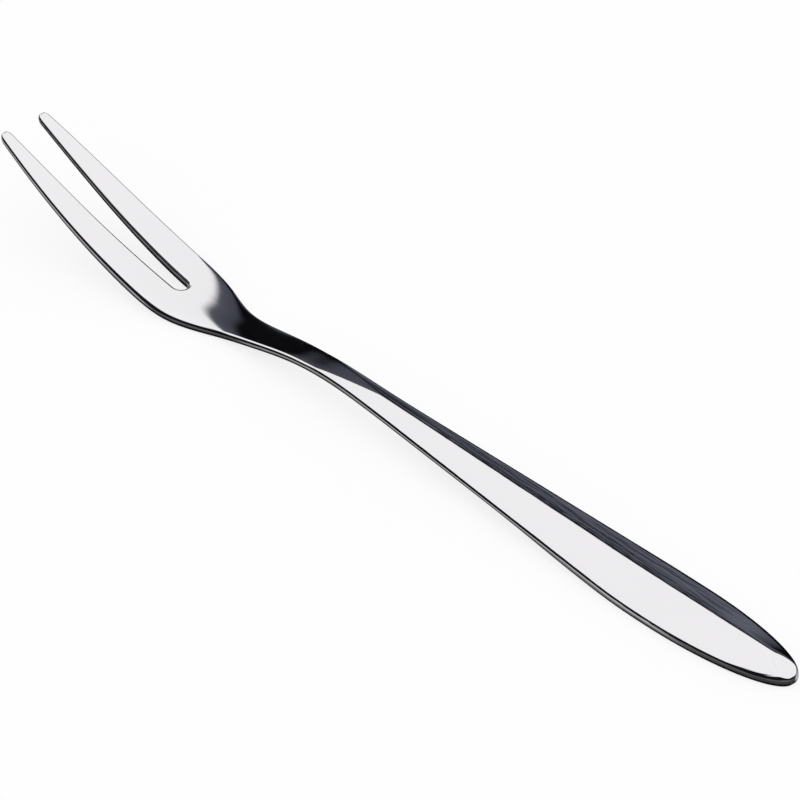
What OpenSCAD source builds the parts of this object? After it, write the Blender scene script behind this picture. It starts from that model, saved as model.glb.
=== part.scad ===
// Two-tined oyster fork, stamped in one piece from stainless plate, then bent and polished.
// It lies along X with the tines at +X and its hollow side up, at rest on the handle's end and the head.
// Lengths are in millimetres. The sub-parts are zones of the one blank and meet on flat planes.
// Outlines and heights are straight lines between corners, and each corner is eased over its reach.

/* [Lengths] */
// Length of the handle, from its end to where its ridge has run out
handle_length = 83.3; // [70:0.1:100]
// Length of the neck
neck_length = 20.8; // [17:0.1:25]
// Length of the head, as far as the middle of the slot's round root
head_length = 11.1; // [9:0.1:14]
// Length of the tines from there to their tips
tine_length = 30.1; // [24:0.1:36]

/* [Outline] */
// Width of the handle
handle_width = 10.5; // [7:0.1:14]
// Length of the handle's rounded end
handle_round_length = 21.4; // [15:0.1:24]
// Width of the small flat at the very end of the handle
handle_end_flat = 0.5; // [0.4:0.1:2]
// Place along the handle where it starts to narrow and to rise
handle_corner_share = 0.33; // [0.28:0.01:0.4]
// Width at which the side lines of the neck would cross, before easing widens it
neck_width = 3.1; // [2.4:0.1:4]
// Place along the neck where its side lines would cross
neck_cross_share = 0.16; // [0:0.01:0.3]
// Width where the shoulder starts to spread
shoulder_width = 5.5; // [4.5:0.1:6]
// Place along the head where the shoulder starts to spread
shoulder_start_share = 0.12; // [0:0.01:0.2]
// Place along the head where the shoulder reaches its full width
shoulder_end_share = 0.69; // [0.6:0.01:0.8]
// Width of the head
head_width = 11.5; // [9:0.1:14]
// Distance by which each outer edge draws in from the head to its tip
tip_draw_in = 1.78; // [1:0.02:2]
// Power by which that draw-in grows along the tines, where 1 keeps the edge straight
tip_draw_power = 2.6; // [1:0.1:4]
// Reach of the easing at the handle's widest place
handle_ease = 7; // [4:0.5:10]
// Reach of the easing at the neck
neck_ease = 18; // [12:0.5:20]
// Reach of the easing at both ends of the shoulder
shoulder_ease = 6.6; // [4:0.2:8]

/* [Slot] */
// Width of the slot at its round root
slot_root_width = 2.12; // [1.6:0.02:2.6]
// Width of the slot at the tips
slot_mouth_width = 4.8; // [3.8:0.1:5.4]
// Bend of the slot's sides, where 1 keeps them straight
slot_flare = 1.29; // [1:0.01:1.6]
// Length of the rounded end of each tine
tip_round_length = 0.9; // [0.6:0.1:1.6]
// Width of the small flat at the very end of each tine
tip_flat = 0.6; // [0.4:0.1:0.9]

/* [Side view] */
// Height of the edges at the neck, where the lines of the arch would cross
crest_height = 4.4; // [3:0.05:6]
// Place along the neck where the lines of the arch would cross
crest_share = 0.43; // [0.35:0.01:0.5]
// Depth below the table at which the lines of the edges would cross under the head
belly_depth = 0.08; // [0:0.01:0.3]
// Place along the head where those lines would cross
belly_share = 0.23; // [0.15:0.01:0.35]
// Height of the edges where the tines take their last bend
tine_bend_height = 4.23; // [3.5:0.01:6]
// Place along the tines of their last bend
tine_bend_share = 0.372; // [0.3:0.002:0.5]
// Height of the top of the tips
tip_height = 11.65; // [8:0.05:14]
// Reach of the easing where the handle starts to rise
rise_ease = 8; // [5:0.5:10]
// Reach of the easing at the arch and below the head
arch_ease = 15; // [10:0.5:16]
// Reach of the easing at the last bend of the tines
tine_ease = 18; // [10:0.5:18]

/* [Plate] */
// Thickness of the plate at the edges of the handle's broad end
handle_thickness = 1.42; // [1:0.02:2]
// Thickness at the edges where the handle has narrowed
flank_thickness = 0.96; // [0.8:0.02:1.4]
// Thickness at the edges of the neck
neck_thickness = 1.02; // [0.9:0.01:1.4]
// Thickness at the root of the tines
root_thickness = 1.43; // [1.1:0.01:2]
// Thickness at the tips
tip_thickness = 1.04; // [0.8:0.02:1.5]
// Place along the handle where it starts to thin
thick_end_share = 0.43; // [0.38:0.01:0.5]
// Place along the handle where it has thinned
thin_start_share = 0.595; // [0.55:0.005:0.7]
// Place along the neck where it starts to thicken
neck_thickness_share = 0.78; // [0.6:0.01:0.9]
// Place along the tines where they are thickest
root_thickness_share = 0.115; // [0.05:0.005:0.2]
// Reach of the easing of the thickness
thickness_ease = 7; // [4:0.5:8]
// Width of the broken edge along all rims
edge_break = 0.2; // [0.05:0.01:0.25]

/* [Ridge and crown] */
// Height of the handle's ridge above its edges
ridge_height = 1.9; // [0.6:0.05:2.4]
// Height of the ridge where the handle has narrowed
ridge_low_height = 0.72; // [0.3:0.02:1]
// Place along the handle of that height
ridge_low_share = 0.915; // [0.88:0.005:0.93]
// Height at which the side facets would meet at the end of the neck
neck_ridge_height = 0.5; // [0.3:0.02:0.8]
// Reach of the easing of the ridge
ridge_ease = 4; // [2:0.5:5]
// Rise of the facet at the handle's end, for each unit of its length
end_facet_rise_share = 0.5; // [0.25:0.01:0.8]
// Place along the handle where the flat top of the neck first cuts the ridge
flat_start_share = 0.927; // [0.9:0.001:0.95]
// Height of the flat top above the edges at that place
flat_start_height = 0.71; // [0.4:0.01:1]
// Place along the neck where the flat top has reached the edges
flat_end_share = 0.274; // [0.15:0.002:0.5]
// Reach of the easing where the flat top reaches the edges
flat_ease = 2; // [1:0.2:3.4]
// Height of the slight crown of the neck
neck_crown = 0.08; // [0:0.01:0.3]
// Height of the slight crown of the head
head_crown = 0.31; // [0:0.01:0.4]
// Place along the handle where the crown starts
crown_start_share = 0.88; // [0.8:0.01:0.95]
// Place along the neck where its crown is full
neck_crown_share = 0.93; // [0.8:0.01:0.95]
// Place along the head where its crown is full
head_crown_share = 0.28; // [0.2:0.01:0.8]
// Place along the tines where the crown has run out
crown_end_share = 0.45; // [0.3:0.01:0.6]
// Reach of the easing of the crown
crown_ease = 6; // [3:0.5:8]
// Power by which the crown falls towards the edges, where 2 makes it an even arch
crown_power = 3.2; // [2:0.1:6]

/* [Sections] */
// Sections along the handle's rounded end
round_sections = 10; // [6:1:16]
// Sections along the rest of the handle
handle_sections = 26; // [16:1:40]
// Sections along the neck
neck_sections = 20; // [12:1:30]
// Sections along the head
head_sections = 12; // [8:1:20]
// Sections along each tine
tine_sections = 18; // [10:1:30]
// Sections along each rounded tip
tip_sections = 5; // [3:1:8]
// Steps across half the top
top_steps = 4; // [2:1:8]

/* [Hidden] */
steel = [0.78, 0.79, 0.8];
// Distance by which the cut of the slot's root passes both faces
cut_overrun = 1;
// Sides of the slot's round root
slot_sides = 48;

// Places along the fork, from the end of the handle
neck_end = handle_length + neck_length;
tine_root = neck_end + head_length;
overall_length = tine_root + tine_length;
handle_corner = handle_corner_share * handle_length;
shoulder_end = neck_end + shoulder_end_share * head_length;
flat_start = flat_start_share * handle_length;
flat_end = handle_length + flat_end_share * neck_length;

// Corners of each line: place, value, reach of the easing
outline = [
    [0, handle_width / 2, 0],
    [handle_corner, handle_width / 2, handle_ease],
    [handle_length + neck_cross_share * neck_length, neck_width / 2, neck_ease],
    [neck_end + shoulder_start_share * head_length, shoulder_width / 2, shoulder_ease],
    [shoulder_end, head_width / 2, shoulder_ease],
    [overall_length, head_width / 2, 0]
];
edge_heights = [
    [0, handle_thickness, 0],
    [handle_corner, handle_thickness, rise_ease],
    [handle_length + crest_share * neck_length, crest_height, arch_ease],
    [neck_end + belly_share * head_length, -belly_depth, arch_ease],
    [tine_root + tine_bend_share * tine_length, tine_bend_height, tine_ease],
    [overall_length, tip_height, 0]
];
thicknesses = [
    [0, handle_thickness, 0],
    [thick_end_share * handle_length, handle_thickness, thickness_ease],
    [thin_start_share * handle_length, flank_thickness, thickness_ease],
    [handle_length + neck_thickness_share * neck_length, neck_thickness, thickness_ease],
    [tine_root + root_thickness_share * tine_length, root_thickness, thickness_ease],
    [overall_length, tip_thickness, 0]
];
ridges = [
    [0, ridge_height, 0],
    [handle_corner, ridge_height, handle_ease],
    [ridge_low_share * handle_length, ridge_low_height, ridge_ease],
    [neck_end, neck_ridge_height, ridge_ease],
    [overall_length, neck_ridge_height, 0]
];
flats = [
    [0, flat_start_height * flat_end / (flat_end - flat_start), 0],
    [flat_end, 0, flat_ease],
    [overall_length, 0, 0]
];
crowns = [
    [0, 0, 0],
    [crown_start_share * handle_length, 0, crown_ease],
    [handle_length + neck_crown_share * neck_length, neck_crown, crown_ease],
    [neck_end + head_crown_share * head_length, head_crown, crown_ease],
    [tine_root + crown_end_share * tine_length, 0, crown_ease],
    [overall_length, 0, 0]
];

// Smooth lines
function total(values) = values * [for (value = values) 1];
function slope(line, i) = (line[i + 1].y - line[i].y) / (line[i + 1].x - line[i].x);
function corner(away, reach) =
    away <= -reach ? 0 :
    away >= reach ? away :
    away < 0 ? pow(away + reach, 3) / (6 * pow(reach, 2)) :
    away + pow(reach - away, 3) / (6 * pow(reach, 2));
function eased(line, place) =
    line[0].y + slope(line, 0) * (place - line[0].x)
    + total([
        for (i = [1 : len(line) - 2])
            (slope(line, i) - slope(line, i - 1)) * corner(place - line[i].x, line[i].z)
    ]);
function rounded(away, reach) = away >= reach ? 1 : sqrt(1 - pow(1 - away / reach, 2));
function even(from, to, count) = [for (i = [0 : count]) from + (to - from) * i / count];
function along_round(reach, count) = [for (i = [0 : count - 1]) reach * (1 - cos(90 * i / count))];

// Shape of the fork at a place along it
function side(place) =
    handle_end_flat / 2
    + (eased(outline, place) - handle_end_flat / 2) * rounded(place, handle_round_length)
    - tip_draw_in * pow(max(0, place - shoulder_end) / (overall_length - shoulder_end), tip_draw_power);
function slot_side(place) =
    slot_root_width / 2
    + (slot_mouth_width - slot_root_width) / 2
    * pow(max(0, place - tine_root) / tine_length, slot_flare);
function edge_height(place) = eased(edge_heights, place);
function underside(place) = edge_height(place) - eased(thicknesses, place);
function top(place, y) =
    edge_height(place)
    + min(
        eased(ridges, place) * (1 - abs(y) / side(place)),
        eased(flats, place),
        end_facet_rise_share * place
    )
    + eased(crowns, place) * (1 - pow(abs(y) / side(place), crown_power));
function tine_middle(place) = (side(place) + slot_side(place)) / 2;
function tine_half(place) =
    let (full = (side(place) - slot_side(place)) / 2)
    tip_flat / 2 + (full - tip_flat / 2) * rounded(overall_length - place, tip_round_length);

// Closed ring of points round a section between two sides
function ring(place, right, left, steps) =
    let (
        x = place - overall_length / 2,
        low = underside(place),
        inner_right = right + edge_break,
        inner_left = left - edge_break
    )
    concat(
        [
            [x, inner_right, low],
            [x, inner_left, low],
            [x, left, low + edge_break],
            [x, left, top(place, left) - edge_break]
        ],
        [for (y = even(inner_left, inner_right, steps)) [x, y, top(place, y)]],
        [
            [x, right, top(place, right) - edge_break],
            [x, right, low + edge_break]
        ]
    );
function whole_ring(place) = ring(place, -side(place), side(place), 2 * top_steps);
function tine_ring(place) =
    ring(
        place,
        tine_middle(place) - tine_half(place),
        tine_middle(place) + tine_half(place),
        top_steps
    );

// Solid through a row of rings
module loft(rings) {
    count = len(rings[0]);
    last = (len(rings) - 1) * count;
    walls = [
        for (k = [0 : len(rings) - 2], i = [0 : count - 1])
            let (
                here = k * count + i,
                beside = k * count + (i + 1) % count
            )
            each [
                [here, beside, beside + count],
                [here, beside + count, here + count]
            ]
    ];
    polyhedron(
        points = [for (one = rings) each one],
        faces = concat(
            [[for (i = [count - 1 : -1 : 0]) i]],
            walls,
            [[for (i = [0 : count - 1]) last + i]]
        )
    );
}

module handle() {
    color(steel)
        loft([
            for (place = concat(
                along_round(handle_round_length, round_sections),
                even(handle_round_length, handle_length, handle_sections)
            ))
                whole_ring(place)
        ]);
}

module neck() {
    color(steel)
        loft([for (place = even(handle_length, neck_end, neck_sections)) whole_ring(place)]);
}

module head() {
    color(steel)
        difference() {
            loft([for (place = even(neck_end, tine_root, head_sections)) whole_ring(place)]);
            translate([tine_root - overall_length / 2, 0, -cut_overrun])
                cylinder(d = slot_root_width, h = top(tine_root, 0) + 2 * cut_overrun, $fn = slot_sides);
        }
}

module tine() {
    from_tip = along_round(tip_round_length, tip_sections);
    loft([
        for (place = concat(
            even(tine_root, overall_length - tip_round_length, tine_sections),
            [for (i = [1 : tip_sections]) overall_length - from_tip[tip_sections - i]]
        ))
            tine_ring(place)
    ]);
}

module left_tine() {
    color(steel)
        tine();
}

module right_tine() {
    color(steel)
        mirror([0, 1, 0])
            tine();
}

handle();
neck();
head();
left_tine();
right_tine();
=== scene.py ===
import math

import bmesh
import bpy
import numpy as np
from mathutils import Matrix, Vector


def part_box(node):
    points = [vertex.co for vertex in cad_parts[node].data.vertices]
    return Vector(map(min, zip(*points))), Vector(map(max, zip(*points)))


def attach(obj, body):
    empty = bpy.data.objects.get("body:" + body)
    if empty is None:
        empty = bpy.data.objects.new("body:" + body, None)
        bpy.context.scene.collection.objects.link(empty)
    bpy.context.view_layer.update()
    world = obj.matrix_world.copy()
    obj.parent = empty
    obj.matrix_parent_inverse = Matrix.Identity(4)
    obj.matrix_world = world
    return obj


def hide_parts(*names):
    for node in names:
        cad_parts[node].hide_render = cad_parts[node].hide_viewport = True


# A two-tined oyster fork, blanked from stainless plate, coined, bent and polished.
# Blender works in metres in the part's frame: +X runs to the tips, +Y to the left, +Z up.
# Lengths of the fork are in millimetres, and its places are counted from the handle's end.

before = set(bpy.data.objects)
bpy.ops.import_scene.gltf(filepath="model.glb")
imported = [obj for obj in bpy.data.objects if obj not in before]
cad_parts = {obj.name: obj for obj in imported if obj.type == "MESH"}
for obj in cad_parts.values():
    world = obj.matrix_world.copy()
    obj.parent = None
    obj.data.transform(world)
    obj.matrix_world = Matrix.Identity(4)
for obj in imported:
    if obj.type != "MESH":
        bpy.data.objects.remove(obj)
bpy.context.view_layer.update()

MM = 0.001


def zone_length(node):
    """Length along the fork of one of its zones."""
    low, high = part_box(node)
    return (high.x - low.x) / MM


HANDLE = zone_length("handle")
NECK = zone_length("neck")
HEAD = zone_length("head")
TINE = zone_length("left_tine")
NECK_END = HANDLE + NECK
TINE_ROOT = NECK_END + HEAD
TIP = TINE_ROOT + TINE
HANDLE_CORNER = 0.33 * HANDLE
SHOULDER_END = NECK_END + 0.69 * HEAD
FLAT_START = 0.927 * HANDLE
FLAT_END = HANDLE + 0.274 * NECK

# The part's lines: place, value, and the reach over which the corner is eased.
HALF_WIDTHS = (
    (0, 5.25, 0), (HANDLE_CORNER, 5.25, 7), (HANDLE + 0.16 * NECK, 1.55, 18),
    (NECK_END + 0.12 * HEAD, 2.75, 6.6), (SHOULDER_END, 5.75, 6.6), (TIP, 5.75, 0),
)
EDGE_HEIGHTS = (
    (0, 1.42, 0), (HANDLE_CORNER, 1.42, 8), (HANDLE + 0.43 * NECK, 4.4, 15),
    (NECK_END + 0.23 * HEAD, -0.08, 15), (TINE_ROOT + 0.372 * TINE, 4.23, 18), (TIP, 11.65, 0),
)
THICKNESSES = (
    (0, 1.42, 0), (0.43 * HANDLE, 1.42, 7), (0.595 * HANDLE, 0.96, 7),
    (HANDLE + 0.78 * NECK, 1.02, 7), (TINE_ROOT + 0.115 * TINE, 1.43, 7), (TIP, 1.04, 0),
)
RIDGES = (
    (0, 1.9, 0), (HANDLE_CORNER, 1.9, 7), (0.915 * HANDLE, 0.72, 4), (NECK_END, 0.5, 4), (TIP, 0.5, 0),
)
FLATS = ((0, 0.71 * FLAT_END / (FLAT_END - FLAT_START), 0), (FLAT_END, 0, 2), (TIP, 0, 0))
CROWNS = (
    (0, 0, 0), (0.88 * HANDLE, 0, 6), (HANDLE + 0.93 * NECK, 0.08, 6),
    (NECK_END + 0.28 * HEAD, 0.31, 6), (TINE_ROOT + 0.45 * TINE, 0, 6), (TIP, 0, 0),
)
CROWN_POWER = 3.2
NOSE_LENGTH = 21.4
NOSE_HALF_FLAT = 0.25
END_FACET_RISE = 0.5
TIP_DRAW_IN = 1.78
TIP_DRAW_POWER = 2.6
SLOT_RADIUS = 1.06
SLOT_SPREAD = 1.34
SLOT_FLARE = 1.29
TIP_ROUND = 0.9
TIP_HALF_FLAT = 0.3

# Polishing rolls the rims, eases the outer edges of the handle and of the shoulder, and softens the lines
# between facets. A rim's width goes in from the side, and its drop goes from the face down the wall.
NOSE_FRONT = 0.15 * NOSE_LENGTH
NOSE_SIDE = 0.35 * NOSE_LENGTH
TOP_RIM_WIDTHS = (
    (0, 0.42, 0), (NOSE_FRONT, 0.42, 2), (NOSE_SIDE, 0.15, 2), (HANDLE_CORNER, 0.21, 6),
    (HANDLE / 2, 0.25, 6), (HANDLE, 0.25, 8), (HANDLE + 0.3 * NECK, 0.34, 4), (NECK_END, 0.34, 2),
    (NECK_END + 0.25 * HEAD, 0.2, 1.5), (NECK_END + 0.6 * HEAD, 0.2, 1.5),
    (NECK_END + 0.8 * HEAD, 0.34, 1), (TIP, 0.34, 0),
)
TOP_RIM_DROPS = (
    (0, 0.48, 0), (NOSE_FRONT, 0.48, 2), (0.45 * NOSE_LENGTH, 0.5, 3), (HANDLE_CORNER, 0.48, 6),
    (HANDLE / 2, 0.36, 6), (HANDLE, 0.36, 8), (NECK_END, 0.48, 8), (TINE_ROOT, 0.66, 8), (TIP, 0.52, 0),
)
SLOT_RIM_WIDTHS = ((0, 0.55, 0), (TINE_ROOT, 0.55, 6), (TINE_ROOT + 0.6 * TINE, 0.34, 6), (TIP, 0.34, 0))
BACK_RIM_WIDTHS = ((0, 0.42, 0), (HANDLE_CORNER, 0.42, 8), (HANDLE, 0.34, 8), (TIP, 0.34, 0))
BACK_RIM_DROPS = (
    (0, 0.56, 0), (HANDLE_CORNER, 0.56, 8), (HANDLE / 2, 0.44, 8), (NECK_END, 0.44, 8),
    (TINE_ROOT, 0.6, 8), (TIP, 0.46, 0),
)
EASED_EDGE_WIDTHS = ((0, 0.8, 0), (HANDLE_CORNER, 0.8, 7), (HANDLE, 0.5, 7), (TIP, 0.5, 0))
EASED_EDGE_SLOPES = (
    (0, 0, 0), (0.1 * NOSE_LENGTH, 0, 1), (NOSE_SIDE, 0.25, 2), (0.9 * HANDLE, 0.25, 4), (HANDLE, 0, 4),
    (NECK_END, 0, 2), (NECK_END + 0.3 * HEAD, 0.2, 2), (NECK_END + 0.8 * HEAD, 0.2, 2),
    (TINE_ROOT + 0.1 * TINE, 0, 2), (TIP, 0, 0),
)
EASED_EDGE_SOFTNESS = 0.12
RIDGE_SOFTNESS = 0.3
FLAT_SOFTNESS = 0.05
END_SOFTNESS = 0.3


def corner(away, reach):
    """A ramp from 0 that starts at 0, eased over the reach on both sides."""
    if reach == 0:
        return np.maximum(away, 0)
    low = (away + reach) ** 3 / (6 * reach ** 2)
    high = away + (reach - away) ** 3 / (6 * reach ** 2)
    return np.select([away <= -reach, away >= reach, away < 0], [0, away, low], high)


def eased(line, place):
    """Value of one of the part's lines at the places."""
    places, values, reaches = np.array(line, float).T
    slopes = np.diff(values) / np.diff(places)
    result = values[0] + slopes[0] * (place - places[0])
    for i in range(1, len(slopes)):
        result = result + (slopes[i] - slopes[i - 1]) * corner(place - places[i], reaches[i])
    return result


def rounded(away, reach):
    """Quarter of an ellipse, from 0 at the end to 1 at the reach."""
    return np.sqrt(1 - (1 - np.clip(away / reach, 0, 1)) ** 2)


def half_width(place):
    """From the middle line to the outer side, without the rounding of the tips."""
    full = NOSE_HALF_FLAT + (eased(HALF_WIDTHS, place) - NOSE_HALF_FLAT) * rounded(place, NOSE_LENGTH)
    past_shoulder = np.maximum(0, place - SHOULDER_END) / (TIP - SHOULDER_END)
    return full - TIP_DRAW_IN * past_shoulder ** TIP_DRAW_POWER


def tine_sides(place):
    """Inner and outer side of a tine, rounded in at its tip. The outer one runs along the whole fork."""
    outer = half_width(place)
    inner = SLOT_RADIUS + SLOT_SPREAD * (np.maximum(0, place - TINE_ROOT) / TINE) ** SLOT_FLARE
    half = TIP_HALF_FLAT + ((outer - inner) / 2 - TIP_HALF_FLAT) * rounded(TIP - place, TIP_ROUND)
    middle = (outer + inner) / 2
    return middle - half, middle + half


def lower_of(a, b, softness):
    """The lower of two faces, with the line between them softened."""
    return (a + b - np.hypot(a - b, softness)) / 2


def edge_fall(place, y):
    """How far the polishing wheel took down the upper face beside its outer edge."""
    over_edge = eased(EASED_EDGE_WIDTHS, place) - half_width(place) + np.abs(y)
    return eased(EASED_EDGE_SLOPES, place) * (over_edge + np.hypot(over_edge, EASED_EDGE_SOFTNESS)) / 2


def top_height(place, y):
    """The upper face: two facets and a ridge on the handle, cut by its end facet and the neck's flat, then
    a low crown, with the outer edges eased."""
    side = half_width(place)
    soft_side = np.hypot(side, RIDGE_SOFTNESS) - RIDGE_SOFTNESS
    lean = (np.hypot(y, RIDGE_SOFTNESS) - RIDGE_SOFTNESS) / soft_side
    facets = eased(RIDGES, place) * (1 - lean)
    roof = lower_of(facets, eased(FLATS, place), FLAT_SOFTNESS)
    roof = lower_of(roof, END_FACET_RISE * place, END_SOFTNESS)
    crown = eased(CROWNS, place) * (1 - np.abs(y / side) ** CROWN_POWER)
    return eased(EDGE_HEIGHTS, place) + roof + crown - edge_fall(place, y)


def back_height(place, y):
    """The flat underside."""
    return eased(EDGE_HEIGHTS, place) - eased(THICKNESSES, place) + 0 * y


def face_normal(height, place, y):
    """Upward unit normals of a face."""
    step = 0.002
    inside = np.clip(place, step, TIP - step)
    along = (height(inside + step, y) - height(inside - step, y)) / (2 * step)
    across = (height(inside, y + step) - height(inside, y - step)) / (2 * step)
    normal = np.stack([-along, -across, np.ones_like(along)], -1)
    return normal / np.linalg.norm(normal, axis=-1, keepdims=True)


# Rows across the fork. Each row joins a station on the outer side to the middle line or to the slot.
# Its columns close up at the line where the side facet meets the flat or the end facet.
ROW_COUNTS = {"nose": 64, "handle": 90, "neck": 60, "head": 26, "arc": 20, "tine": 44, "tip": 12}
SIDE_COLUMNS = np.array([0, 0.05, 0.08, 0.1, 0.12, 0.15, 0.2, 0.35, 0.55, 0.75, 0.9, 0.97])
MIDDLE_COLUMNS = np.array([0, 0.03, 0.1, 0.25, 0.45, 0.7, 0.9, 1])
LINE_LIMITS = (0.25, 0.97)
ACROSS = np.linspace(0, 1, len(SIDE_COLUMNS) + len(MIDDLE_COLUMNS))
SLOT_APEX_REACH = SLOT_RADIUS + eased(SLOT_RIM_WIDTHS, TINE_ROOT)
QUARTER = math.pi / 2
# The side lines have this many points to a row, so that their normals come out smooth.
FINE = 16


def even(start, end, rows):
    """Evenly spaced values after the start, FINE to a row."""
    return np.linspace(start, end, rows * FINE + 1)[1:]


slot_turn = np.linspace(0, QUARTER, ROW_COUNTS["arc"] * FINE + 1)
tip_turn = even(QUARTER, 0, ROW_COUNTS["tip"])
tine_places = np.concatenate([
    even(TINE_ROOT, TIP - TIP_ROUND, ROW_COUNTS["tine"]), TIP - TIP_ROUND * (1 - np.cos(tip_turn)),
])
outer_places = np.concatenate([
    [0], NOSE_LENGTH * (1 - np.cos(even(0, QUARTER, ROW_COUNTS["nose"]))),
    even(NOSE_LENGTH, HANDLE, ROW_COUNTS["handle"]), even(HANDLE, NECK_END, ROW_COUNTS["neck"]),
    even(NECK_END, TINE_ROOT - SLOT_APEX_REACH, ROW_COUNTS["head"]),
    TINE_ROOT - SLOT_APEX_REACH * np.cos(slot_turn[1:]), tine_places,
])
outer_line = np.stack([outer_places, tine_sides(outer_places)[1]], -1)
inner_line = np.concatenate([
    np.stack([TINE_ROOT - SLOT_RADIUS * np.cos(slot_turn), SLOT_RADIUS * np.sin(slot_turn)], -1),
    np.stack([tine_places, tine_sides(tine_places)[0]], -1),
])
row_after = {name: int(end) for name, end in zip(ROW_COUNTS, np.cumsum(list(ROW_COUNTS.values())))}
APEX_ROW = row_after["head"]
ROOT_ROW = row_after["arc"]
TIP_ROW = row_after["tip"]


def side_normals(line, turn):
    """Outward normals of a side line, one to a row: turn is 1 for the left of the way along it, -1 for the
    right."""
    along = np.gradient(line, axis=0)
    normal = turn * np.stack([-along[:, 1], along[:, 0]], -1)
    return (normal / np.linalg.norm(normal, axis=1, keepdims=True))[::FINE]


# A rim is stepped in straight across the fork, and where its side line turns across, square to that line.
TURN_START = 0.3
TURN_REACH = 0.5
LEAST_ACROSS = 0.1


def inward(normal):
    """Step from a side line into the face, one unit deep: square to a round end, and straight across
    elsewhere."""
    slant = np.clip((np.abs(normal[:, :1]) - TURN_START) / TURN_REACH, 0, 1)
    slant = slant * slant * (3 - 2 * slant)
    straight = np.zeros_like(normal)
    safe = np.where(np.abs(normal[:, 1]) < LEAST_ACROSS, 1, normal[:, 1])
    straight[:, 1] = -1 / safe
    return (1 - slant) * straight - slant * normal


outer_normal = side_normals(outer_line, 1)
inner_normal = side_normals(inner_line, -1)
outer_line = outer_line[::FINE]
inner_line = inner_line[::FINE]
nose_line = np.stack([np.zeros_like(ACROSS), NOSE_HALF_FLAT * (1 - ACROSS)], -1)
nose_normal = np.tile([-1.0, 0.0], (len(ACROSS), 1))
tip_inner, tip_outer = inner_line[-1, 1], outer_line[-1, 1]
tip_line = np.stack([np.full_like(ACROSS, TIP), tip_outer + (tip_inner - tip_outer) * ACROSS], -1)
tip_normal = np.tile([1.0, 0.0], (len(ACROSS), 1))

RIM_COLUMNS = 12
RIM_TURN = np.linspace(0, QUARTER, RIM_COLUMNS)
WALL_STEPS = np.array([0.5])
FACE_FINISH, EDGE_FINISH, SLOT_FINISH = 0, 1, 2
# The wall's finish, streaked and with painted shade towards its foot, starts this many columns in from each
# end of the rim.
FIRST_SHEARED = {EDGE_FINISH: 7, SLOT_FINISH: 5}


def rim_points(line, normal, height, widths, drops, upward):
    """The rolled rim of one face, from the face to the wall."""
    width, drop = eased(widths, line[:, :1]), eased(drops, line[:, :1])
    depth = width * (1 - np.sin(RIM_TURN))
    spot = line[:, None, :] + inward(normal)[:, None, :] * depth[..., None]
    place, y = spot[..., 0], spot[..., 1]
    points = np.stack([place, y, height(place, y) - upward * drop * (1 - np.cos(RIM_TURN))], -1)
    sideways = np.concatenate([normal, np.zeros((len(normal), 1))], 1) / width
    normals = (
        np.cos(RIM_TURN)[:, None] * upward * face_normal(height, place, y) / drop[..., None]
        + np.sin(RIM_TURN)[:, None] * sideways[:, None, :]
    )
    return points, normals / np.linalg.norm(normals, axis=-1, keepdims=True)


def rim(line, normal, wall_finish, top_widths=TOP_RIM_WIDTHS):
    """Patch that rolls from the upper face over the rim, down the wall and round to the back."""
    top, top_normal = rim_points(line, normal, top_height, top_widths, TOP_RIM_DROPS, 1)
    back, back_normal = rim_points(line, normal, back_height, BACK_RIM_WIDTHS, BACK_RIM_DROPS, -1)
    share = WALL_STEPS[None, :, None]
    wall = top[:, -1:] * (1 - share) + back[:, -1:] * share
    wall_normal = np.broadcast_to(top_normal[:, -1:], wall.shape)
    points = np.concatenate([top, wall, back[:, ::-1]], 1)
    normals = np.concatenate([top_normal, wall_normal, back_normal[:, ::-1]], 1)
    lowest, highest = points[:, -1:, 2], points[:, :1, 2]
    down = (highest - points[..., 2]) / (highest - lowest)
    finish = np.full(points.shape[1] - 1, FACE_FINISH)
    first = FIRST_SHEARED[wall_finish]
    finish[first:-first] = wall_finish
    return points, normals, down, finish


def columns(outer):
    """Shares of the way from the outer rim to the middle or the slot, for each row."""
    place, y = outer.T
    flat = np.minimum(eased(FLATS, place), END_FACET_RISE * place)
    line = half_width(place) * (1 - flat / eased(RIDGES, place))
    line = np.clip(1 - line / y, *LINE_LIMITS)[:, None]
    return np.concatenate([line * SIDE_COLUMNS, line + (1 - line) * MIDDLE_COLUMNS], 1)[..., None]


def face(height, widths, slot_widths, upward):
    """Patch of one half of the upper face or of the back, from the outer rim to the middle line or to
    the slot's rim."""
    outer = outer_line + inward(outer_normal) * eased(widths, outer_line[:, :1])
    inner = np.stack([outer[:, 0], np.zeros(len(outer))], -1)
    inner[APEX_ROW:] = inner_line + inward(inner_normal) * eased(slot_widths, inner_line[:, :1])
    share = columns(outer)
    rows = outer[:, None, :] * (1 - share) + inner[:, None, :] * share
    place, y = rows[..., 0], rows[..., 1]
    points = np.stack([place, y, height(place, y)], -1)
    normals = upward * face_normal(height, place, y)
    down = np.full(place.shape, 0.0 if upward > 0 else 1.0)
    return points, normals, down, np.full(place.shape[1] - 1, FACE_FINISH)


upper_face = face(top_height, TOP_RIM_WIDTHS, SLOT_RIM_WIDTHS, 1)
back_face = face(back_height, BACK_RIM_WIDTHS, BACK_RIM_WIDTHS, -1)
outer_rim = rim(outer_line, outer_normal, EDGE_FINISH)
slot_rim = rim(inner_line, inner_normal, SLOT_FINISH, SLOT_RIM_WIDTHS)
nose_rim = rim(nose_line, nose_normal, EDGE_FINISH)
tip_rim = rim(tip_line, tip_normal, EDGE_FINISH)
# Points of two patches that agree to this many digits of a millimetre are one point.
SHARED_DIGITS = 5


def rows_of(patch, first, last):
    """The rows of a patch from the first to the last."""
    points, normals, down, finish = patch
    return points[first:last + 1], normals[first:last + 1], down[first:last + 1], finish


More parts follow.
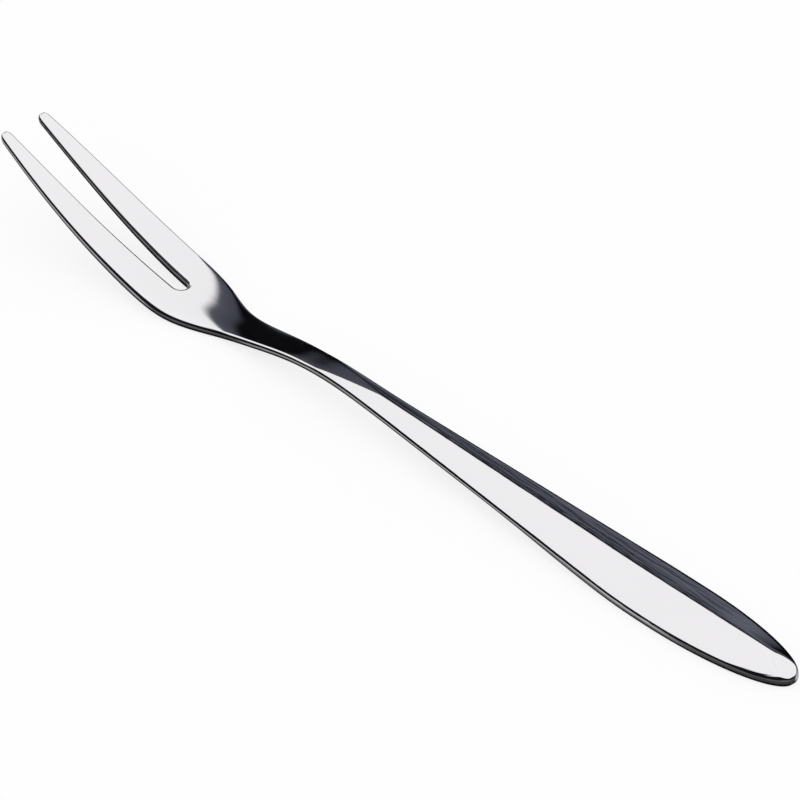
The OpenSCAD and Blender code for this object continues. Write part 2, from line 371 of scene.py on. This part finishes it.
def joined(patches, sides):
    """Points, normals, ways down the wall, quads and finishes of patches of the left half, set on the
    sides given: 1 is left, -1 is right."""
    points, normals, downs, quads, marks = [], [], [], [], []
    start = 0
    for side in sides:
        mirror = np.array([1, side, 1])
        for spot, normal, down, finish in patches:
            points.append((spot * mirror).reshape(-1, 3))
            normals.append((normal * mirror).reshape(-1, 3))
            downs.append(down.ravel())
            grid = start + np.arange(down.size).reshape(down.shape)
            around = [grid[:-1, :-1], grid[1:, :-1], grid[1:, 1:], grid[:-1, 1:]]
            quads.append(np.stack(around, -1).reshape(-1, 4))
            marks.append(np.tile(finish, len(down) - 1))
            start += down.size
    points, normals, downs, quads, marks = map(np.concatenate, (points, normals, downs, quads, marks))
    points[:, 0] -= TIP / 2
    rough = np.round(points, SHARED_DIGITS)
    _, first, same = np.unique(rough, axis=0, return_index=True, return_inverse=True)
    return points[first] * MM, normals[first], downs[first], same.ravel()[quads], marks


def zone_piece(name, patches, sides, finishes):
    """Closed mesh of one zone, shaded with the normals that its faces and rims have by their formulas."""
    points, normals, downs, quads, marks = joined(patches, sides)
    mesh = bpy.data.meshes.new(name)
    mesh.from_pydata(points.tolist(), [], quads.tolist())
    mesh.polygons.foreach_set("material_index", marks.astype(np.int32))
    capped = bmesh.new()
    capped.from_mesh(mesh)
    bmesh.ops.holes_fill(capped, edges=[edge for edge in capped.edges if edge.is_boundary], sides=0)
    bmesh.ops.recalc_face_normals(capped, faces=capped.faces)
    capped.to_mesh(mesh)
    capped.free()
    way_down = mesh.attributes.new("down_the_wall", "FLOAT", "POINT")
    way_down.data.foreach_set("value", downs.astype(np.float32))
    for finish in finishes:
        mesh.materials.append(finish)
    smooth = []
    for polygon in mesh.polygons:
        cap = polygon.index >= len(quads)
        polygon.use_smooth = True
        smooth += [polygon.normal if cap else normals[v] for v in polygon.vertices]
    mesh.normals_split_custom_set(smooth)
    piece = bpy.data.objects.new(name, mesh)
    bpy.context.collection.objects.link(piece)
    return piece


def linear(hex_colour):
    """Linear colour of an sRGB hex value."""
    parts = [int(hex_colour[i:i + 2], 16) / 255 for i in (1, 3, 5)]
    curve = [part / 12.92 if part <= 0.04045 else ((part + 0.055) / 1.055) ** 2.4 for part in parts]
    return curve + [1]


def add(tree, kind, inputs, **settings):
    """Adds a node with its settings; inputs go by socket, each a value or the output that feeds it."""
    node = tree.nodes.new(kind)
    for name, value in settings.items():
        setattr(node, name, value)
    for socket, value in inputs.items():
        if isinstance(value, bpy.types.NodeSocket):
            tree.links.new(value, node.inputs[socket])
        else:
            node.inputs[socket].default_value = value
    return node


# Marks of making, in millimetres along, across and up, and how deep they are.
# Buffing lines are some hundredths of a millimetre wide, and are drawn at 0.35 mm so that they show.
BUFFING_LINE, BUFFING_DEPTH = (14, 0.35, 0.35), 0.02
HAZE_PATCH = (9, 4, 4)
# The handle's facets were ground lengthwise, which leaves shallow waves. They run out towards its end
# and before the neck.
GRINDING_WAVE, WAVE_DEPTH = (7, 1.1, 1.1), 0.055
WAVES_START, WAVES_WHOLE = 0.2 * NOSE_LENGTH, 0.8 * NOSE_LENGTH
WAVE_RUN_OUT = 12
WAVES_FADE, WAVES_END = FLAT_START - WAVE_RUN_OUT, FLAT_START
# Die marks run down the wall about 0.05 mm apart; at this size only streaks of the edge polish show.
EDGE_STREAK, STREAK_DEPTH = (7, 0.5, 0.22), 0.03
ACRYLIC_GRAIN = (2, 2, 2)


def per_mm(sizes):
    """Pattern scale for marks of these sizes."""
    return [1 / (size * MM) for size in sizes]


def frame_x(place):
    """X in the part's frame of a place along the fork, in metres."""
    return (place - TIP / 2) * MM


def new_finish(name):
    """An empty material and its node tree."""
    finish = bpy.data.materials.new(name)
    finish.use_nodes = True
    finish.node_tree.nodes.clear()
    return finish, finish.node_tree


def mirror_polished_stainless():
    """Stainless steel, coined and buffed along its length: a bright mirror with faint long buffing lines
    and a little haze."""
    finish, tree = new_finish("mirror_polished_stainless")
    spot = add(tree, "ShaderNodeTexCoord", {}).outputs["Object"]
    along = add(tree, "ShaderNodeMapping", {"Vector": spot, "Scale": per_mm(BUFFING_LINE)}).outputs[0]
    lines = add(tree, "ShaderNodeTexNoise", {
        "Vector": along, "Scale": 1, "Detail": 3, "Roughness": 0.6,
    }).outputs[0]
    haze_spot = add(tree, "ShaderNodeMapping", {"Vector": spot, "Scale": per_mm(HAZE_PATCH)}).outputs[0]
    haze = add(tree, "ShaderNodeTexNoise", {"Vector": haze_spot, "Scale": 1, "Detail": 4}).outputs[0]
    line_gloss = add(tree, "ShaderNodeMapRange", {0: lines, 1: 0.3, 2: 0.7, 3: 0.03, 4: 0.07}).outputs[0]
    gloss = add(tree, "ShaderNodeMath", {
        0: haze, 1: 0.04, 2: line_gloss,
    }, operation="MULTIPLY_ADD").outputs[0]
    wave_spot = add(tree, "ShaderNodeMapping", {"Vector": spot, "Scale": per_mm(GRINDING_WAVE)}).outputs[0]
    waves = add(tree, "ShaderNodeTexNoise", {"Vector": wave_spot, "Scale": 1, "Detail": 3}).outputs[0]
    place = add(tree, "ShaderNodeSeparateXYZ", {0: spot}).outputs["X"]
    past_end = add(tree, "ShaderNodeMapRange", {
        0: place, 1: frame_x(WAVES_START), 2: frame_x(WAVES_WHOLE), 3: 0.0, 4: 1.0,
    }).outputs[0]
    ground = add(tree, "ShaderNodeMapRange", {
        0: place, 1: frame_x(WAVES_FADE), 2: frame_x(WAVES_END), 3: past_end, 4: 0.0,
    }).outputs[0]
    wavy = add(tree, "ShaderNodeBump", {
        "Strength": ground, "Distance": WAVE_DEPTH * MM, "Height": waves,
    }).outputs[0]
    lined = add(tree, "ShaderNodeBump", {
        "Strength": 0.1, "Distance": BUFFING_DEPTH * MM, "Height": lines, "Normal": wavy,
    }).outputs[0]
    steel = add(tree, "ShaderNodeBsdfPrincipled", {
        "Base Color": linear("#d2d2d4"), "Metallic": 1, "Roughness": gloss, "Normal": lined,
    }).outputs[0]
    add(tree, "ShaderNodeOutputMaterial", {"Surface": steel})
    return finish


def stainless_wall_with_painted_shade(name, dark, light, share_under_painted_shade):
    """Stainless steel where the die cut it, polished less than the faces: streaked along its length, and
    with painted shade below, where the colour falls to a share of itself for the shaded table under the
    fork."""
    finish, tree = new_finish(name)
    spot = add(tree, "ShaderNodeTexCoord", {}).outputs["Object"]
    along = add(tree, "ShaderNodeMapping", {"Vector": spot, "Scale": per_mm(EDGE_STREAK)}).outputs[0]
    streaks = add(tree, "ShaderNodeTexNoise", {
        "Vector": along, "Scale": 1, "Detail": 4, "Roughness": 0.65,
    }).outputs[0]
    down = add(tree, "ShaderNodeAttribute", {}, attribute_name="down_the_wall").outputs["Fac"]
    tone = add(tree, "ShaderNodeMapRange", {0: streaks, 1: 0.35, 2: 0.7, 3: 0.0, 4: 1.0}).outputs[0]
    colour = add(tree, "ShaderNodeMix", {
        0: tone, 6: linear(dark), 7: linear(light),
    }, data_type="RGBA").outputs[2]
    # Painted shade: from partway down the wall, its colour falls to the given share at its foot.
    painted_lower_shade = add(tree, "ShaderNodeMapRange", {0: down, 1: 0.4, 2: 0.55, 3: 1.0, 4: share_under_painted_shade}).outputs[0]
    shade = add(tree, "ShaderNodeMix", {
        0: 1.0, 6: colour, 7: painted_lower_shade,
    }, data_type="RGBA", blend_type="MULTIPLY").outputs[2]
    dull = add(tree, "ShaderNodeMapRange", {0: down, 1: 0.0, 2: 1.0, 3: 0.08, 4: 0.14}).outputs[0]
    bump = add(tree, "ShaderNodeBump", {
        "Strength": 0.12, "Distance": STREAK_DEPTH * MM, "Height": streaks,
    }).outputs[0]
    steel = add(tree, "ShaderNodeBsdfPrincipled", {
        "Base Color": shade, "Metallic": 1, "Roughness": dull, "Normal": bump,
    }).outputs[0]
    add(tree, "ShaderNodeOutputMaterial", {"Surface": steel})
    return finish


def opal_acrylic():
    """Matte opal acrylic over a light: an even white that glows, so that shadows on it stay faint."""
    finish, tree = new_finish("opal_acrylic")
    spot = add(tree, "ShaderNodeTexCoord", {}).outputs["Object"]
    grain_spot = add(tree, "ShaderNodeMapping", {"Vector": spot, "Scale": per_mm(ACRYLIC_GRAIN)}).outputs[0]
    grain = add(tree, "ShaderNodeTexNoise", {"Vector": grain_spot, "Scale": 1, "Detail": 3}).outputs[0]
    rough = add(tree, "ShaderNodeMapRange", {0: grain, 1: 0.0, 2: 1.0, 3: 0.85, 4: 0.95}).outputs[0]
    acrylic = add(tree, "ShaderNodeBsdfPrincipled", {
        "Base Color": linear("#757575"), "Roughness": rough, "Specular IOR Level": 0.1,
        "Emission Color": linear("#ffffff"), "Emission Strength": 0.81,
    }).outputs[0]
    add(tree, "ShaderNodeOutputMaterial", {"Surface": acrylic})
    return finish


# The slot's walls are painted darker than the outer edges, and nearly black at their foot: painted shade
# between the tines.
FINISHES = [
    mirror_polished_stainless(),
    stainless_wall_with_painted_shade("edge_stainless_with_painted_shade", "#b0b0b4", "#d0d0d4", 0.9),
    stainless_wall_with_painted_shade("slot_stainless_with_painted_shade", "#6c6c70", "#a8a8ac", 0.1),
]


def fork_zone(node, first, last, sides, extra=()):
    """Builds the piece that stands for one node, between two rows."""
    patches = [rows_of(patch, first, last) for patch in (upper_face, back_face, outer_rim)]
    if last > APEX_ROW:
        patches.append(rows_of(slot_rim, max(first - APEX_ROW, 0), last - APEX_ROW))
    piece = zone_piece(node + "_polished", patches + list(extra), sides, FINISHES)
    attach(piece, "root")
    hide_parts(node)


fork_zone("handle", 0, row_after["handle"], (1, -1), [nose_rim])
fork_zone("neck", row_after["handle"], row_after["neck"], (1, -1))
fork_zone("head", row_after["neck"], ROOT_ROW, (1, -1))
fork_zone("left_tine", ROOT_ROW, TIP_ROW, (1,), [tip_rim])
fork_zone("right_tine", ROOT_ROW, TIP_ROW, (-1,), [tip_rim])

# Table, just under the fork. The steel doesn't mirror it: the tent's lower bands stand in for it.
TABLE_WIDTH = 6
TABLE_GAP = 0.01 * MM
bpy.ops.mesh.primitive_plane_add(size=TABLE_WIDTH, location=(0, 0, -TABLE_GAP))
table = bpy.context.object
table.name = "table"
table.data.materials.append(opal_acrylic())
table.visible_glossy = False

# What the steel mirrors: a white tent over a lit table, with dark cards on the fork's far side, round
# its left and past the handle's end. A band has its angle above the horizon, its light, and its tint.
PAPER, SLATE = (1, 0.985, 0.98), (0.94, 0.98, 1.25)
OVERHEAD = ((45, 1.3, PAPER), (74, 1.35, PAPER), (90, 1.25, PAPER))
TENT = (
    (-90, 0.03, SLATE), (-42, 0.03, SLATE), (-36, 0.8, PAPER), (-24, 0.8, PAPER), (-15, 0.4, PAPER),
    (0, 0.4, PAPER), (10, 0.85, PAPER), (20, 1.35, PAPER), (35, 1.4, PAPER),
) + OVERHEAD
BACK_CARD = (
    (-90, 0.004, SLATE), (-8.5, 0.004, SLATE), (-5.5, 0.06, SLATE), (-1.5, 0.11, SLATE), (1, 0.16, SLATE),
    (3, 0.15, SLATE), (6.5, 0.06, SLATE), (8, 0.02, SLATE), (9.5, 0.02, SLATE), (12, 0.18, SLATE),
    (15.5, 0.006, SLATE), (25.5, 0.004, SLATE), (29.5, 0.08, SLATE), (37.3, 0.11, SLATE),
    (40.3, 1.3, PAPER),
) + OVERHEAD
LEFT_CARD = (
    (-90, 0.01, SLATE), (-38, 0.01, SLATE), (-35, 0.35, PAPER), (-31, 0.7, PAPER), (-21, 0.9, PAPER),
    (-17, 0.01, SLATE), (21, 0.01, SLATE), (27, 1.35, PAPER), (35, 1.4, PAPER),
) + OVERHEAD
DIM_TABLE = (
    (-90, 0.01, SLATE), (-38, 0.01, SLATE), (-35, 0.12, PAPER), (-21, 0.2, PAPER), (-17, 0.01, SLATE),
)
TALL_CARD = DIM_TABLE + ((34, 0.01, SLATE), (40, 1.35, PAPER)) + OVERHEAD
CORNER_CARD = DIM_TABLE + ((22, 0.01, SLATE), (28, 1.35, PAPER)) + OVERHEAD
END_CARD = DIM_TABLE + ((8, 0.01, SLATE), (12, 1.35, PAPER)) + OVERHEAD
# Each card has the bearing of its middle, anticlockwise from +X, and how far each side it is whole and has
# ended. A later card stands in front of the earlier ones.
CARDS = (
    (BACK_CARD, -48, 20, 32), (LEFT_CARD, 38, 24, 36), (TALL_CARD, 66, 10, 18),
    (CORNER_CARD, 100, 20, 34), (END_CARD, 165, 60, 76),
)


def banded(tree, level, bands):
    """Colour that follows the bands from straight down to straight up."""
    ramp = add(tree, "ShaderNodeValToRGB", {0: level})
    stops = ramp.color_ramp.elements
    while len(stops) < len(bands):
        stops.new(0.5)
    for stop, (angle, light, tint) in zip(stops, bands):
        stop.position = (math.sin(math.radians(angle)) + 1) / 2
        stop.color = [light * part for part in tint] + [1]
    return ramp.outputs[0]


def on_card(tree, bearing, *angles):
    """How much of a card stands at the bearing, from 0 to 1."""
    middle, whole, ended = (math.radians(angle) for angle in angles)
    facing = add(tree, "ShaderNodeVectorMath", {
        0: bearing, 1: (math.cos(middle), math.sin(middle), 0),
    }, operation="DOT_PRODUCT").outputs["Value"]
    return add(tree, "ShaderNodeMapRange", {
        0: facing, 1: math.cos(ended), 2: math.cos(whole), 3: 0.0, 4: 1.0,
    }, interpolation_type="SMOOTHSTEP").outputs[0]


def light_tent():
    """The surroundings: the tent and its cards for what is mirrored, and an even white for all else."""
    world = bpy.data.worlds.new("light_tent")
    world.use_nodes = True
    # The world isn't sampled as a lamp: rays that leave the fork or the table find it.
    world.cycles.sampling_method = "NONE"
    tree = world.node_tree
    tree.nodes.clear()
    way = add(tree, "ShaderNodeTexCoord", {}).outputs["Generated"]
    height = add(tree, "ShaderNodeSeparateXYZ", {0: way}).outputs["Z"]
    level = add(tree, "ShaderNodeMapRange", {0: height, 1: -1.0, 2: 1.0, 3: 0.0, 4: 1.0}).outputs[0]
    flat_way = add(tree, "ShaderNodeVectorMath", {0: way, 1: (1, 1, 0)}, operation="MULTIPLY").outputs[0]
    bearing = add(tree, "ShaderNodeVectorMath", {0: flat_way}, operation="NORMALIZE").outputs[0]
    around = banded(tree, level, TENT)
    for bands, *angles in CARDS:
        around = add(tree, "ShaderNodeMix", {
            0: on_card(tree, bearing, *angles), 6: around, 7: banded(tree, level, bands),
        }, data_type="RGBA").outputs[2]
    even_light = add(tree, "ShaderNodeBackground", {"Color": linear("#fdfdfd"), "Strength": 1}).outputs[0]
    mirrored = add(tree, "ShaderNodeBackground", {"Color": around}).outputs[0]
    glossy = add(tree, "ShaderNodeLightPath", {}).outputs["Is Glossy Ray"]
    both = add(tree, "ShaderNodeMixShader", {0: glossy, 1: even_light, 2: mirrored}).outputs[0]
    add(tree, "ShaderNodeOutputWorld", {"Surface": both})
    return world


bpy.context.scene.world = light_tent()

# Camera: a long lens, behind the handle and to its left, which gives the photograph's view.
AZIMUTH, ELEVATION = math.radians(227.780), math.radians(35.157)
FRAME_WIDTH = 101.415 * MM
LENS = 1600
AIM = Vector((2.397, -1.432, 4.044)) * MM
CLIP_END = 20
camera_data = bpy.data.cameras.new("camera")
camera_data.lens = LENS
camera_data.clip_end = CLIP_END
camera = bpy.data.objects.new("camera", camera_data)
back = Vector((
    math.sin(AZIMUTH) * math.cos(ELEVATION), -math.cos(AZIMUTH) * math.cos(ELEVATION), math.sin(ELEVATION),
))
camera.location = AIM + back * FRAME_WIDTH * LENS / camera_data.sensor_width
camera.rotation_euler = (-back).to_track_quat("-Z", "Y").to_euler()
bpy.context.collection.objects.link(camera)
bpy.context.scene.camera = camera
bpy.context.scene.view_settings.view_transform = "Standard"
